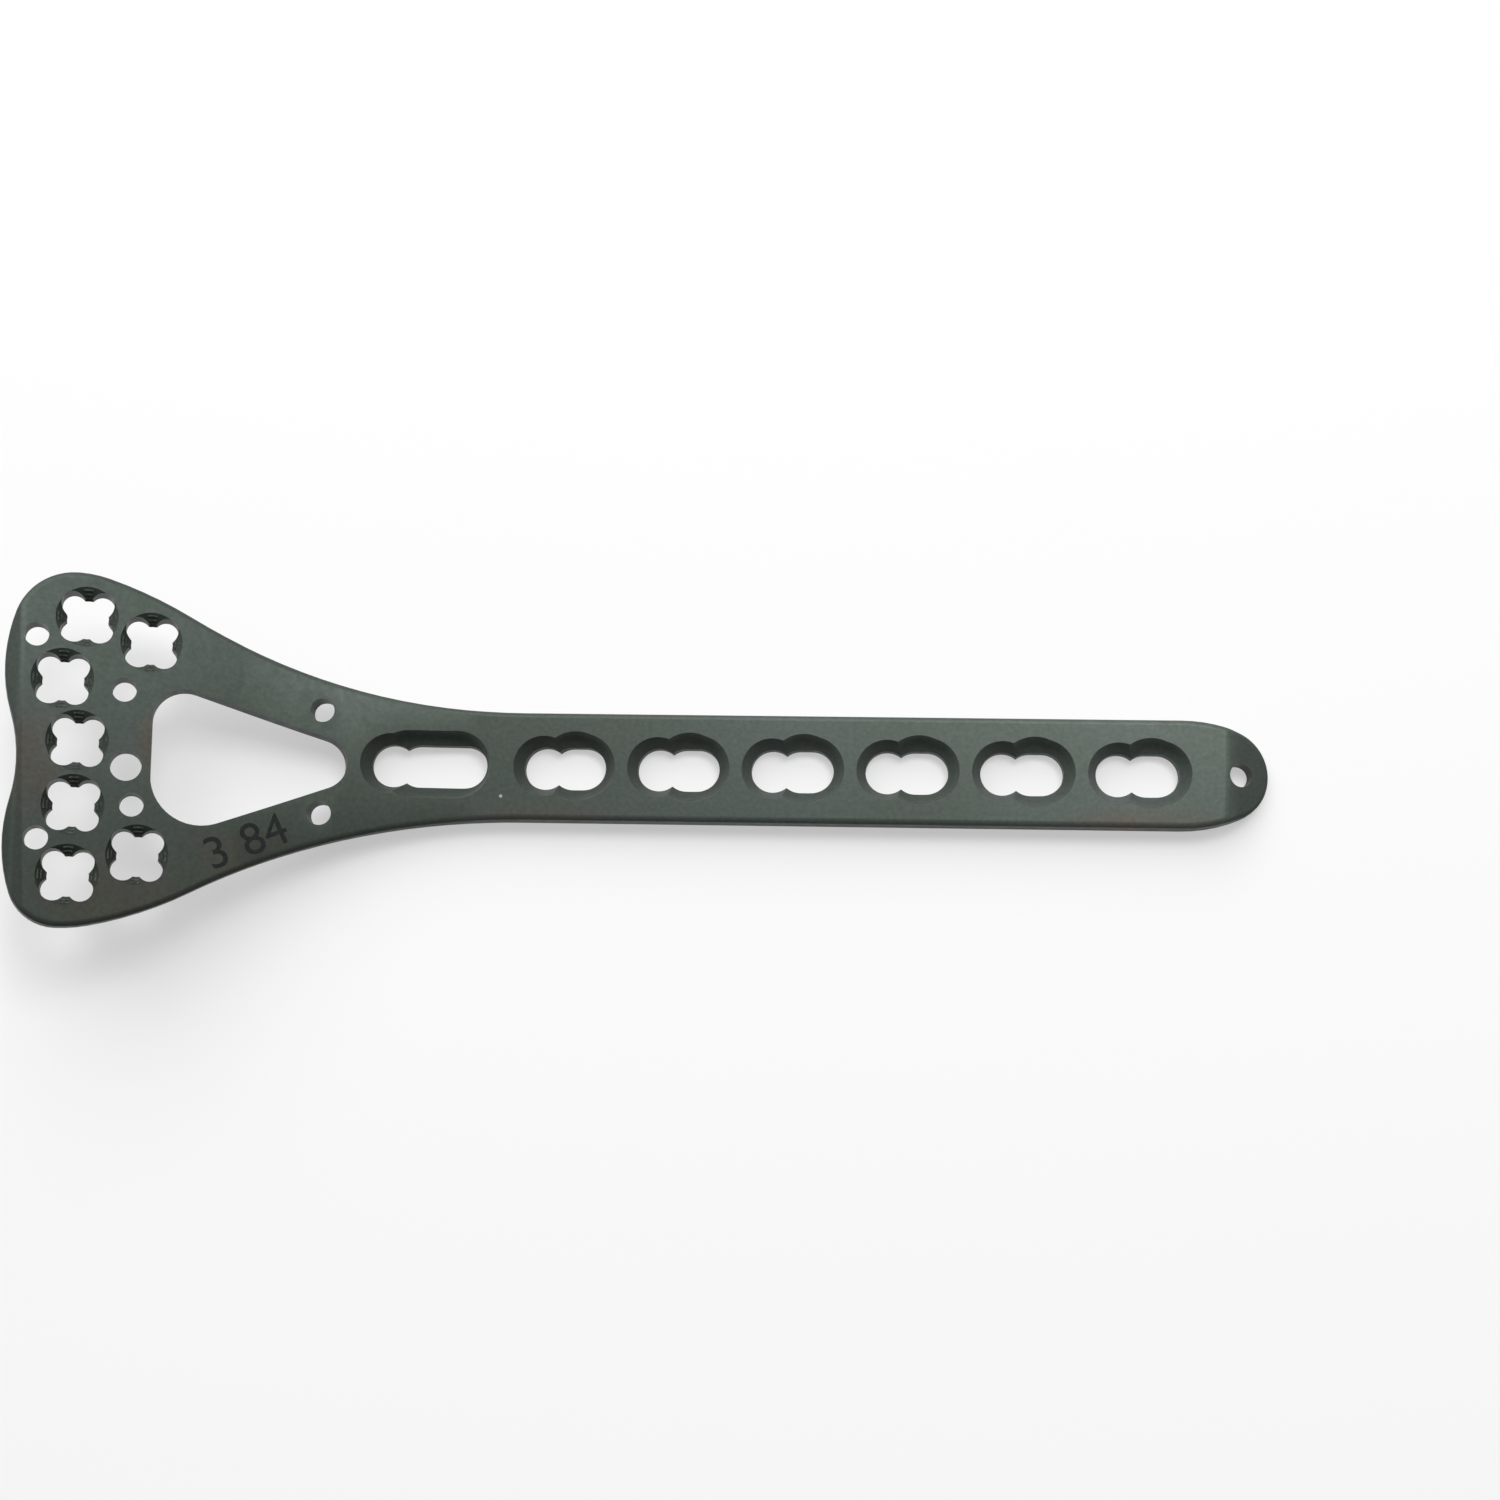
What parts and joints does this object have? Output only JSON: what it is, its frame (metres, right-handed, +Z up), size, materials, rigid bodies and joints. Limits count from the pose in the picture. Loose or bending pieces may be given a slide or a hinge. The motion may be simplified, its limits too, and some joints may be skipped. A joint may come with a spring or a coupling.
{
  "type": "orthopedic bone plate",
  "caption": "Slender bone plate with a flat slotted shaft, bent up into a splayed head with a rounded triangular window, lobed locking holes and wire holes.",
  "frame": {"origin": "on the flat underside of the shaft, on its centre line, midway between the long slot and the first short slot", "axes": "+X along the shaft from the head to the tip, +Z up out of the plate, away from the bone, +Y across the plate"},
  "size_m": [0.0975, 0.0274, 0.0117],
  "materials": {
    "anodised_titanium": "satin, dark greenish grey anodised titanium alloy"
  },
  "bodies": {
    "root": {"bone_plate": "anodised_titanium"}
  },
  "joints": []
}
